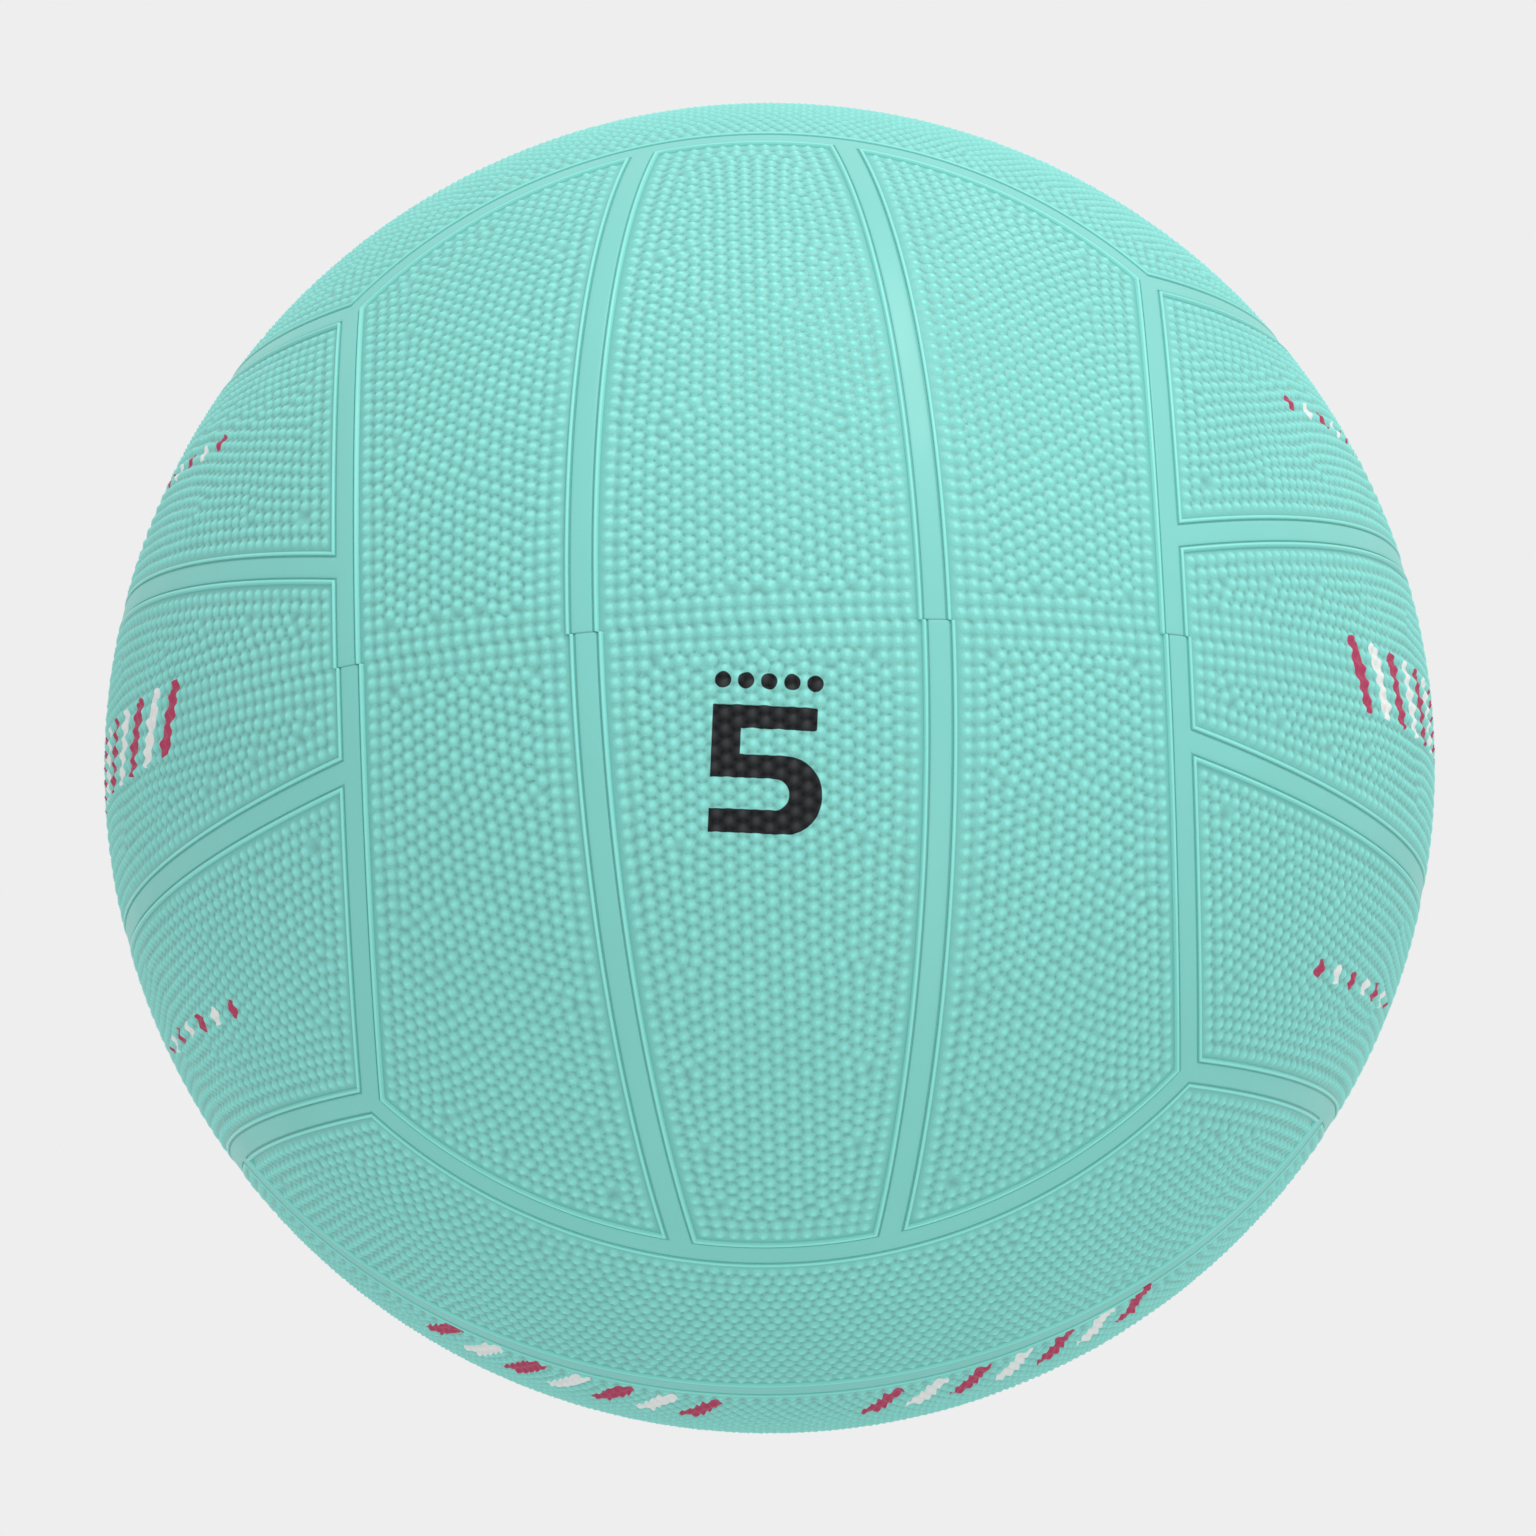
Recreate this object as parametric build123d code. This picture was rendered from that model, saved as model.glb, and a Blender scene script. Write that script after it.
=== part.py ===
from build123d import *

import math
import os

# A size 5 netball: a wound rubber ball with 18 pebbled cover panels.
# Millimetres. The origin is the ball's centre, +Z runs up through the valve,
# -Y is the front face that carries the size numeral, and +X is to its right.
#
# From the inside out the ball has a butyl bladder with a rubber valve boot and a
# pull-out valve plug, a layer of nylon thread, a rubber carcass whose ribs show as
# smooth bands between the panels, and the panels themselves, inlaid between the ribs.
# The surface is divided as on a volleyball: six faces of three strips each, with
# the strips of neighbouring faces at right angles.

# Whole ball
BALL_CIRCUMFERENCE = 700.0
BALL_RADIUS = BALL_CIRCUMFERENCE / (2 * math.pi)

# Wall layers, from the outside in
PANEL_THICKNESS = 1.0
CARCASS_FLOOR_THICKNESS = 0.5
WINDING_THICKNESS = 0.4
BLADDER_THICKNESS = 0.7
CEMENT_FILM = 0.1

# Seam ribs and the grooves on either side of them
RIB_WIDTH = 3.4
RIB_DROP = 0.2
GROOVE_WIDTH = 0.5
PANEL_EDGE_ROUND = 0.3
MIDDLE_STRIP_HALF_ANGLE = 14.0

# Valve plug: a headed rubber plug with a blind hole for the inflating needle
VALVE_RECESS = 0.3
NEEDLE_HOLE_DIAMETER = 2.1
NEEDLE_LEAD_IN = 0.6
PLUG_LENGTH = 15.0
PLUG_CLOSED_END = 5.0
PLUG_SHANK_WALL = 1.25
PLUG_SHOULDER = 0.9
PLUG_HEAD_HEIGHT = 2.4
PLUG_TIP_CHAMFER = 0.6
PLUG_CLEARANCE = 0.05

# Valve boot: a stem through the wall with a flange bonded inside the bladder
BOOT_WALL = 1.55
BOOT_TAIL = 2.0
BOOT_FLANGE_WIDTH = 9.2
BOOT_FLANGE_THICKNESS = 1.2
STEM_CLEARANCE = 0.1

# Radii of the layers that follow from the sizes above
PANEL_INNER_RADIUS = BALL_RADIUS - PANEL_THICKNESS
RIB_TOP_RADIUS = BALL_RADIUS - RIB_DROP
POCKET_FLOOR_RADIUS = PANEL_INNER_RADIUS - CEMENT_FILM
CARCASS_INNER_RADIUS = POCKET_FLOOR_RADIUS - CARCASS_FLOOR_THICKNESS
WINDING_OUTER_RADIUS = CARCASS_INNER_RADIUS - CEMENT_FILM
WINDING_INNER_RADIUS = WINDING_OUTER_RADIUS - WINDING_THICKNESS
BLADDER_OUTER_RADIUS = WINDING_INNER_RADIUS - CEMENT_FILM
BLADDER_INNER_RADIUS = BLADDER_OUTER_RADIUS - BLADDER_THICKNESS
FLANGE_OUTER_RADIUS = BLADDER_INNER_RADIUS - CEMENT_FILM
FLANGE_INNER_RADIUS = FLANGE_OUTER_RADIUS - BOOT_FLANGE_THICKNESS

# Valve radii, from the needle hole outwards, and heights
VALVE_FACE = BALL_RADIUS - VALVE_RECESS
NEEDLE_RADIUS = NEEDLE_HOLE_DIAMETER / 2
NEEDLE_HOLE_DEPTH = PLUG_LENGTH - PLUG_CLOSED_END
PLUG_SHANK_RADIUS = NEEDLE_RADIUS + PLUG_SHANK_WALL
PLUG_HEAD_RADIUS = PLUG_SHANK_RADIUS + PLUG_SHOULDER
STEM_RADIUS = PLUG_HEAD_RADIUS + PLUG_CLEARANCE + BOOT_WALL
FLANGE_RADIUS = STEM_RADIUS + BOOT_FLANGE_WIDTH
BOOT_LENGTH = PLUG_LENGTH + BOOT_TAIL

# The outer seams of a face lie on cones about the coordinate axes, with their tips
# at the ball's centre. At this half angle the six faces cover the ball exactly, and
# three of them meet at each corner of a cube.
SEAM_CONE_HALF_ANGLE = math.degrees(math.acos(1 / math.sqrt(3)))

# A cutting solid reaches this far from the ball's centre, which is well outside the ball
CUTTER_REACH = 2 * BALL_RADIUS


# Whether a round solid stands on its place or hangs below it
STAND_ON = (Align.CENTER, Align.CENTER, Align.MIN)
HANG_BELOW = (Align.CENTER, Align.CENTER, Align.MAX)


def shell(inner_radius, outer_radius):
    """A closed hollow ball about the origin."""
    return Sphere(outer_radius) - Sphere(inner_radius)


def dish(half_angle, inner_radius, outer_radius):
    """The part of a shell within half_angle degrees of +Z. Its rim points at the centre."""
    rim_start = 90 - half_angle
    rim_direction = Vector(1, 0).rotate(Axis.Z, rim_start)
    outline = make_face(
        [
            Line((0, inner_radius), (0, outer_radius)),
            CenterArc((0, 0), outer_radius, rim_start, half_angle),
            Line(rim_direction * outer_radius, rim_direction * inner_radius),
            CenterArc((0, 0), inner_radius, rim_start, half_angle),
        ]
    )
    return revolve(Plane.XZ * outline, Axis.Z)


def cone_of_rays(half_angle):
    """A solid cone about +Z with its tip at the ball's centre, reaching out past the ball."""
    mouth_radius = CUTTER_REACH * math.tan(math.radians(half_angle))
    return Cone(0, mouth_radius, CUTTER_REACH, align=STAND_ON)


def seam_side(sideways, distance):
    """The plane that lies distance outside the seam on the left (-1) or right (1) of the
    front face's middle strip. It faces away from that strip."""
    outward = Vector(sideways, 0, 0).rotate(Axis.Z, sideways * MIDDLE_STRIP_HALF_ANGLE)
    return Plane(origin=outward * distance, z_dir=outward)


def front_strips(setback, inner_radius, outer_radius):
    """The front face's left and middle strips, each held back by setback from the middle
    lines of the seams around it."""
    setback_angle = math.degrees(setback / BALL_RADIUS)
    face = Rot(90, 0, 0) * dish(SEAM_CONE_HALF_ANGLE - setback_angle, inner_radius, outer_radius)
    neighbour = cone_of_rays(SEAM_CONE_HALF_ANGLE + setback_angle)
    face = face - [Rot(0, 90, 0) * neighbour, Rot(0, -90, 0) * neighbour]
    left = split(face, bisect_by=seam_side(-1, setback), keep=Keep.TOP)
    middle = split(face, bisect_by=seam_side(-1, -setback), keep=Keep.BOTTOM)
    middle = split(middle, bisect_by=seam_side(1, -setback), keep=Keep.BOTTOM)
    return left, middle


def rounded_panel(strip):
    """A strip with its outer edge rounded over."""
    outer_face = strip.faces().filter_by(GeomType.SPHERE).sort_by(SortBy.AREA)[-1]
    return fillet(outer_face.edges(), PANEL_EDGE_ROUND)


def with_right_strip(left, middle):
    """The front face's three strips. The right one is the left one's mirror image."""
    return left, middle, mirror(left, about=Plane.YZ)


def valve_hole():
    """The round hole up through the top of the wall, for the valve boot's stem."""
    return Cylinder(STEM_RADIUS + STEM_CLEARANCE, CUTTER_REACH, align=STAND_ON)


def below_valve_face(radius, length):
    """A round bar that hangs down from the valve's outer face."""
    return Pos(0, 0, VALVE_FACE) * Cylinder(radius, length, align=HANG_BELOW)


def valve_boot():
    """Stem and flange in one, with a stepped bore for the plug."""
    flange_half_angle = math.degrees(math.asin(FLANGE_RADIUS / FLANGE_OUTER_RADIUS))
    flange = dish(flange_half_angle, FLANGE_INNER_RADIUS, FLANGE_OUTER_RADIUS)
    boot = flange + below_valve_face(STEM_RADIUS, BOOT_LENGTH)
    boot -= below_valve_face(PLUG_HEAD_RADIUS + PLUG_CLEARANCE, PLUG_HEAD_HEIGHT + PLUG_CLEARANCE)
    boot -= below_valve_face(PLUG_SHANK_RADIUS + PLUG_CLEARANCE, BOOT_LENGTH)
    return boot


def valve_plug():
    """Headed plug with a chamfered tip, and a blind needle hole with a lead-in at its mouth."""
    shank = below_valve_face(PLUG_SHANK_RADIUS, PLUG_LENGTH)
    tip_edge = shank.edges().sort_by(Axis.Z)[0]
    plug = below_valve_face(PLUG_HEAD_RADIUS, PLUG_HEAD_HEIGHT) + chamfer(tip_edge, PLUG_TIP_CHAMFER)
    plug -= below_valve_face(NEEDLE_RADIUS, NEEDLE_HOLE_DEPTH)
    lead_in = Cone(NEEDLE_RADIUS, NEEDLE_RADIUS + NEEDLE_LEAD_IN, NEEDLE_LEAD_IN, align=HANG_BELOW)
    return plug - Pos(0, 0, VALVE_FACE) * lead_in


# Each face is the front face turned about the ball's centre. Its three strips come
# out in the order left, middle and right of the front face, under these names.
THIRD_OF_A_TURN = 120.0
HALF_A_TURN = 180.0
CORNER_AXIS = Axis((0, 0, 0), (1, 1, 1))


def turned(solid, corner_turns, half_turn_axis):
    """The solid turned about the cube corner axis, then half round the given axis, if any."""
    moved = solid.rotate(CORNER_AXIS, THIRD_OF_A_TURN * corner_turns)
    return moved.rotate(half_turn_axis, HALF_A_TURN) if half_turn_axis else moved


FACES = {
    "front": (0, None, ("left", "middle", "right")),
    "back": (0, Axis.Z, ("right", "middle", "left")),
    "bottom": (1, None, ("front", "middle", "back")),
    "top": (1, Axis.X, ("back", "middle", "front")),
    "left": (2, None, ("lower", "middle", "upper")),
    "right": (2, Axis.Y, ("upper", "middle", "lower")),
}
VALVE_PANEL = "top_middle_panel"


def panels_and_pockets():
    """All the cover panels by name, and the pockets that they lie in."""
    panel_setback = RIB_WIDTH / 2 + GROOVE_WIDTH
    left, middle = front_strips(panel_setback, PANEL_INNER_RADIUS, BALL_RADIUS)
    strips = with_right_strip(rounded_panel(left), rounded_panel(middle))
    hollows = with_right_strip(
        *front_strips(RIB_WIDTH / 2, POCKET_FLOOR_RADIUS, CUTTER_REACH)
    )
    panels = {}
    pockets = []
    for face, (corner_turns, half_turn_axis, places) in FACES.items():
        for place, strip, hollow in zip(places, strips, hollows):
            panels[f"{face}_{place}_panel"] = turned(strip, corner_turns, half_turn_axis)
            pockets.append(turned(hollow, corner_turns, half_turn_axis))
    panels[VALVE_PANEL] = panels[VALVE_PANEL] - valve_hole()
    return panels, pockets


def make_nodes():
    """Every piece of the ball by name."""
    nodes, pockets = panels_and_pockets()
    nodes["ribbed_carcass"] = shell(CARCASS_INNER_RADIUS, RIB_TOP_RADIUS) - pockets - valve_hole()
    nodes["thread_winding"] = shell(WINDING_INNER_RADIUS, WINDING_OUTER_RADIUS) - valve_hole()
    nodes["bladder"] = shell(BLADDER_INNER_RADIUS, BLADDER_OUTER_RADIUS) - valve_hole()
    nodes["valve_boot"] = valve_boot()
    nodes["valve_plug"] = valve_plug()
    return nodes


os.makedirs("parts", exist_ok=True)
for name, solid in make_nodes().items():
    export_step(solid, f"parts/{name}.step")
    print(f"{name}: {solid.volume:.1f} mm3")
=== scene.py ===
import math
from collections import namedtuple

import bmesh
import bpy
import numpy as np
from bpy.props import FloatProperty, FloatVectorProperty, IntProperty, PointerProperty
from bpy.types import Operator, Panel, PropertyGroup
from mathutils import Matrix, Vector
from mathutils.geometry import delaunay_2d_cdt


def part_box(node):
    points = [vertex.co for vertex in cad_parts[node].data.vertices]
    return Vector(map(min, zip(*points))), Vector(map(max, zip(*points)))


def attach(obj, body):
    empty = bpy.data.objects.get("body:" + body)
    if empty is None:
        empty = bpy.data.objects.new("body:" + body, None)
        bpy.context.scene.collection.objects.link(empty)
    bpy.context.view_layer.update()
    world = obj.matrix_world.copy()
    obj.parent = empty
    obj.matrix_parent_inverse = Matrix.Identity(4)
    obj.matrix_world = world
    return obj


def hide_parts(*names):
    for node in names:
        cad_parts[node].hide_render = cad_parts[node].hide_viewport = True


bl_info = {
    "name": "Pebbled netball",
    "version": (1, 0, 0),
    "blender": (4, 5, 0),
    "location": "View3D > Sidebar > Netball",
    "description": "Dresses the packed netball with pebbled panels, smooth ribs, a valve and a stage",
    "category": "Object",
}

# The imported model. The ball's centre is the origin, +Z runs up through the valve and
# -Y is the front, with the numeral.
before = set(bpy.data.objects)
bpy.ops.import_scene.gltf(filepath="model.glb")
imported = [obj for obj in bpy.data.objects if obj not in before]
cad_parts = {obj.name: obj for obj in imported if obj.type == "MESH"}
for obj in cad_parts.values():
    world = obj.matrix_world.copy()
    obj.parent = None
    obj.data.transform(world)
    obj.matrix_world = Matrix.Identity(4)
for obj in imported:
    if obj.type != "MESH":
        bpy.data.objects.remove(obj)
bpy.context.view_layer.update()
BALL_RADIUS = -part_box("bottom_middle_panel")[0][2]
MM = 0.001

# The seams. The outer seams of a face lie on cones about the coordinate axes, and its
# two inner seams on planes through the axis along its strips.
SEAM_CONE_COSINE = 1 / math.sqrt(3)
SEAM_CONE_SINE = math.sqrt(1 - SEAM_CONE_COSINE**2)
OUTER_SEAM_ANGLE = math.asin(SEAM_CONE_COSINE)
MIDDLE_STRIP_HALF_ANGLE = math.radians(14)
SIDE_STRIP_BEARING = (MIDDLE_STRIP_HALF_ANGLE + OUTER_SEAM_ANGLE) / 2
HALF_EDGE_ANGLE = math.radians(45)
JUNCTION_ANGLE = math.asin(SEAM_CONE_COSINE * math.tan(MIDDLE_STRIP_HALF_ANGLE) / SEAM_CONE_SINE)
INNER_SEAM_HALF_ANGLE = math.acos(SEAM_CONE_COSINE / math.cos(MIDDLE_STRIP_HALF_ANGLE))

# Each face is the front face turned: so many thirds of a turn about the cube corner axis,
# then half a turn about a coordinate axis, if any. Its strips in the order left, middle
# and right of the front face have these names.
FACES = {
    "front": (0, None, ("left", "middle", "right")),
    "back": (0, 2, ("right", "middle", "left")),
    "bottom": (1, None, ("front", "middle", "back")),
    "top": (1, 0, ("back", "middle", "front")),
    "left": (2, None, ("lower", "middle", "upper")),
    "right": (2, 1, ("upper", "middle", "lower")),
}
VALVE_STRIP = ("top", "middle")

# The front face's strips, with the bearing of each one's middle
STRIPS = {"left": -SIDE_STRIP_BEARING, "middle": 0.0, "right": SIDE_STRIP_BEARING}

# Rough places of a strip's corners, to the right of its middle and up from it
ROUGH_CORNERS = ((0.5, -0.7), (0.5, 0.7), (-0.5, 0.7), (-0.5, -0.7))

# The mould's parting plane goes across some strips and along others. Here are its normal
# on the front face, and the sides that it takes the place of before it and after it.
PARTINGS = {"across": ((0.0, 0.0, 1.0), 2, 0), "along": ((1.0, 0.0, 0.0), 1, 3)}

# A side of a strip is a circle on the unit ball: the points that stand at this angle above
# the plane through the centre that is square to the normal. The strip lies on the
# normal's side of it.
Side = namedtuple("Side", "normal angle")

# Points of a surface in the making: their numbers and their flat places on the strip's chart
Spots = namedtuple("Spots", "numbers flat")

# A finished surface: its points, triangles, height above the valleys and a place on
# the baking map for every corner of every triangle.
Skin = namedtuple("Skin", "points triangles relief corner_map")


def length_setting(name, description, millimetres):
    """A length that a user can change."""
    return FloatProperty(
        name=name, description=description, default=millimetres * MM, unit="LENGTH", precision=5
    )


def colour_setting(name, description, *default):
    """A colour that a user can change."""
    return FloatVectorProperty(
        name=name, description=description, default=default, subtype="COLOR", min=0, max=1
    )


class NetballSizes(PropertyGroup):
    """Sizes of the panels and of the ribs between them."""

    rib_width: length_setting("Rib width", "Width of a smooth band", 3.4)
    rib_drop: length_setting("Rib drop", "How far a rib stays below the pebbles' tips", 0.3)
    groove_width: length_setting("Groove width", "Gap between a rib and a panel", 0.3)
    groove_depth: length_setting("Groove depth", "Depth of the groove below a rib's top", 0.25)
    panel_thickness: length_setting("Panel thickness", "From the pebbles' tips to the panel's back", 1.0)
    rim_drop: length_setting("Rim drop", "How far a panel's smooth rim stays below the pebbles' tips", 0.12)
    rim_width: length_setting("Rim width", "From a panel's wall to the foot of its rim", 0.75)
    rim_reach: length_setting("Rim reach", "From a panel's wall to the top of its rim", 0.28)
    rim_rise: length_setting("Rim rise", "How far the round over the rim's top goes down", 0.25)
    cement_film: length_setting("Cement film", "Gap between a panel and its pocket", 0.1)
    carcass_floor: length_setting("Carcass floor", "Thickness of the carcass under a panel", 0.5)
    mould_offset: length_setting(
        "Mould offset", "How far the lower mould half stands to the front's right", 0.6
    )
    valve_hole_radius: length_setting("Valve hole radius", "Radius of the hole for the valve boot", 4.9)
    valve_collar_radius: length_setting(
        "Valve collar radius", "Radius of the smooth collar round the valve", 7.0
    )


class PebbleSizes(PropertyGroup):
    """Sizes and spacing of the pebbles on the panels."""

    pitch: length_setting("Pitch", "Distance between neighbouring pebbles", 2.3)
    radius: length_setting("Radius", "Radius of a pebble at its foot", 0.95)
    height: length_setting("Height", "Height of a pebble", 0.8)
    edge_row: length_setting("Edge row", "From a seam's middle line to the first row of pebbles", 4.2)
    square_rows: IntProperty(
        name="Square rows", description="Rows along each edge that stand side by side", default=2, min=1
    )
    seed: IntProperty(name="Seed", description="Start of the random differences", default=11)


class NetballColours(PropertyGroup):
    """Colours of the rubber, the print and the hidden layers."""

    panel: colour_setting("Panels", "Panel rubber", 0.247, 0.733, 0.665)
    rib: colour_setting("Ribs", "Rib rubber", 0.216, 0.65, 0.588)
    dark_ink: colour_setting("Dark ink", "Numeral and pips", 0.004, 0.005, 0.006)
    # The dark ink lightened on the pebbles' tips, as a painted highlight
    ink_tip_highlight: colour_setting("Ink tip highlight", "Dark ink on the pebbles' tips", 0.045, 0.048, 0.052)
    red_ink: colour_setting("Red ink", "Red dashes", 0.47, 0.045, 0.12)
    white_ink: colour_setting("White ink", "White dashes", 0.85, 0.87, 0.85)
    thread: colour_setting("Thread", "Nylon thread", 0.75, 0.73, 0.66)
    butyl: colour_setting("Bladder", "Butyl rubber", 0.025, 0.025, 0.027)
    boot: colour_setting("Valve boot", "Boot rubber", 0.05, 0.14, 0.13)
    plug: colour_setting("Valve plug", "Plug rubber", 0.03, 0.03, 0.033)


class StageSettings(PropertyGroup):
    """The camera, the light and the pale ground."""

    backdrop: colour_setting("Backdrop", "Pale ground", 0.855, 0.855, 0.855)
    floor: colour_setting("Floor", "Floor under the ball", 0.7, 0.7, 0.7)
    daylight: FloatProperty(name="Daylight", description="Strength of the even light", default=0.75, min=0)
    key_power: FloatProperty(
        name="Key lamp", description="Power of the lamp overhead", default=16, unit="POWER"
    )
    fill_power: FloatProperty(
        name="Fill lamp", description="Power of the low lamp in front", default=8, unit="POWER"
    )
    lens: FloatProperty(name="Lens", description="Focal length in millimetres", default=153.2)
    distance: FloatProperty(
        name="Distance", description="From the ball's centre to the camera", default=1.099, unit="LENGTH"
    )


class NetballSettings(PropertyGroup):
    """Everything that a user would change."""

    sizes: PointerProperty(type=NetballSizes)
    pebbles: PointerProperty(type=PebbleSizes)
    colours: PointerProperty(type=NetballColours)
    stage: PointerProperty(type=StageSettings)


# Places on the unit ball

def unit(vectors):
    """Each vector divided by its length."""
    return vectors / np.linalg.norm(vectors, axis=-1, keepdims=True)


def face_turn(corner_turns, half_turn_axis):
    """The matrix that turns the front face to another face: the coordinate axes passed
    round in order, once for each third of a turn, then two of them reversed."""
    turn = np.linalg.matrix_power(np.roll(np.eye(3), 1, axis=0), corner_turns)
    if half_turn_axis is None:
        return turn
    flip = -np.eye(3)
    flip[half_turn_axis, half_turn_axis] = 1
    return flip @ turn


def strips_of_ball(sizes):
    """Every strip of the ball: its face, its place there, the front strip that it is, the
    matrix that turns it there, and the radius of its hole for the valve, which is 0 on
    all but one."""
    for face, (corner_turns, half_turn_axis, places) in FACES.items():
        turn = face_turn(corner_turns, half_turn_axis)
        for strip, place in zip(STRIPS, places):
            hole = sizes.valve_hole_radius if (face, place) == VALVE_STRIP else 0.0
            yield face, place, strip, turn, hole


def parting(face, strip):
    """How the mould's parting plane, z = 0, crosses a strip of a face, if it does."""
    if face in ("front", "back"):
        return "across"
    return "along" if face in ("left", "right") and strip == "middle" else ""


def strip_axes(strip):
    """The directions right, out and up at the middle of a front strip. A side strip's middle
    is half way between its two seams."""
    bearing = STRIPS[strip]
    right = (math.cos(bearing), math.sin(bearing), 0)
    out = (math.sin(bearing), -math.cos(bearing), 0)
    return np.array([right, out, (0, 0, 1)])


def chart(points, axes):
    """Points on the unit ball laid flat: the angle to the right of the strip's middle
    meridian, and the angle up along it, both times the ball's radius."""
    right, out, up = (points @ axes.T).T
    return BALL_RADIUS * np.column_stack([np.arcsin(right), np.arctan2(up, out)])


def from_chart(flat, axes):
    """The points on the unit ball at flat places: sine of the first angle to the right, and
    its cosine shared out and up by the second angle."""
    across, along = (flat / BALL_RADIUS).T
    mixed = [np.sin(across), np.cos(across) * np.cos(along), np.cos(across) * np.sin(along)]
    return np.column_stack(mixed) @ axes


def circle(radius, count, axes, way=1):
    """Points evenly round the strip's middle, anticlockwise as seen from outside, or
    clockwise if way is -1."""
    angles = way * np.arange(count) * 2 * math.pi / count
    return from_chart(radius * np.column_stack([np.cos(angles), np.sin(angles)]), axes)


def strip_sides(strip):
    """The four sides of a front strip, from its lower end and on to the right, the top
    and the left. Ends and outer seams are cones, and inner seams are planes."""
    end = Side(np.array([0.0, -1.0, 0.0]), OUTER_SEAM_ANGLE)
    seam_normal = np.array([math.cos(MIDDLE_STRIP_HALF_ANGLE), math.sin(MIDDLE_STRIP_HALF_ANGLE), 0])
    right_of_seam = Side(seam_normal, 0.0)
    left_of_seam = Side(-seam_normal, 0.0)
    outer_right = Side(np.array([-1.0, 0.0, 0.0]), -OUTER_SEAM_ANGLE)

    def mirrored(side):
        return Side(side.normal * np.array([-1.0, 1.0, 1.0]), side.angle)

    return {
        "middle": [end, left_of_seam, end, mirrored(left_of_seam)],
        "right": [end, outer_right, end, right_of_seam],
        "left": [end, mirrored(right_of_seam), end, mirrored(outer_right)],
    }[strip]


def setback_of(points, side):
    """How far points on the unit ball stand inside a side, along the ball's surface."""
    return BALL_RADIUS * (np.arcsin(np.clip(points @ side.normal, -1, 1)) - side.angle)


def depth_inside(points, sides):
    """How far points stand inside the nearest of several sides."""
    return np.min([setback_of(points, side) for side in sides], axis=0)


def sides_set_back(sides, setback):
    """The same sides moved in by a distance along the surface."""
    return [Side(side.normal, side.angle + setback / BALL_RADIUS) for side in sides]


def crossing(first, second, guide):
    """Where two circles on the unit ball cross: the point a n1 + b n2 + c (n1 x n2) whose
    heights over both planes are right and whose length is 1. Of the two, the one near guide."""
    heights = np.sin([first.angle, second.angle])
    slant = first.normal @ second.normal
    shares = np.array([heights[0] - slant * heights[1], heights[1] - slant * heights[0]]) / (1 - slant**2)
    foot = shares[0] * first.normal + shares[1] * second.normal
    across = unit(np.cross(first.normal, second.normal))
    rise = math.sqrt(1 - foot @ foot)
    return max((foot + rise * across, foot - rise * across), key=lambda point: point @ guide)


def arc(side, start, end, fractions):
    """Points on a side's circle, at these fractions of the turn from start to end."""
    centre = side.normal * math.sin(side.angle)
    spoke = start - centre
    quarter = np.cross(side.normal, spoke)
    turn = math.atan2((end - centre) @ quarter, (end - centre) @ spoke)
    angles = turn * np.asarray(fractions)[:, None]
    return centre + np.cos(angles) * spoke + np.sin(angles) * quarter


def arcs_round(sides, axes, fractions):
    """The four arcs of a strip's outline, anticlockwise from the lower left corner."""
    right, out, up = axes
    guides = [out + x * right + z * up for x, z in ROUGH_CORNERS]
    following = sides[1:] + sides[:1]
    corners = [crossing(*pair) for pair in zip(sides, following, guides)]
    starts = corners[-1:] + corners[:-1]
    return [arc(*ends) for ends in zip(sides, starts, corners, fractions)]


def outline(strip, setback, fractions):
    """A strip's closed outline at a setback, anticlockwise as seen from outside."""
    sides = sides_set_back(strip_sides(strip), setback)
    return np.concatenate(arcs_round(sides, strip_axes(strip), fractions))


OUTLINE_STEP = 1.2 * MM
PARTING_STEPS = np.array([-0.4, -0.15, -0.05, 0.05, 0.15, 0.4]) * MM


def fractions_along(length, parted):
    """Even fractions from 0 up to 1, an even number of them, with extra ones close to the
    middle where the parting line may cross."""
    count = 2 * round(length / OUTLINE_STEP / 2)
    even = np.arange(count) / count
    return np.sort(np.append(even, 0.5 + PARTING_STEPS / length)) if parted else even


def outline_fractions(strip):
    """Where the points of a strip's outline stand along each of its four sides. A long outer
    side is divided at the junctions with the three strips next to it, so that the
    outlines of neighbours share their points."""
    circle_radius = BALL_RADIUS * SEAM_CONE_SINE
    middle_end = 2 * JUNCTION_ANGLE * circle_radius
    side_end = (HALF_EDGE_ANGLE - JUNCTION_ANGLE) * circle_radius
    whole = middle_end + 2 * side_end
    inner = fractions_along(2 * INNER_SEAM_HALF_ANGLE * BALL_RADIUS, True)
    across_middle = fractions_along(middle_end, True)
    if strip == "middle":
        return [across_middle, inner, across_middle, inner]
    end = fractions_along(side_end, False)
    first = end * side_end / whole
    second = (side_end + across_middle * middle_end) / whole
    outer = np.concatenate([first, second, first + 1 - side_end / whole])
    return [end, outer, end, inner] if strip == "right" else [end, inner, end, outer]


# Pebble places. Gaps and reaches are shares of the pitch.
ROW_GAP = 0.85
FREE_GAP = 0.8
CROWDED_GAP = 0.8
ROW_MEASURING_POINTS = 101
LATTICE_COLUMNS = 20
LATTICE_PLACES = 60
ROW_CURVE = 0.02
RELAXING_STEPS = 70
RELAXING_REACH = 1.12
RELAXING_PUSH = 0.22
NEIGHBOURS = 8
FINDING_EVERY = 7


def both_ways(count):
    """The whole numbers from -count to count."""
    return np.arange(-count, count + 1)


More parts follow.
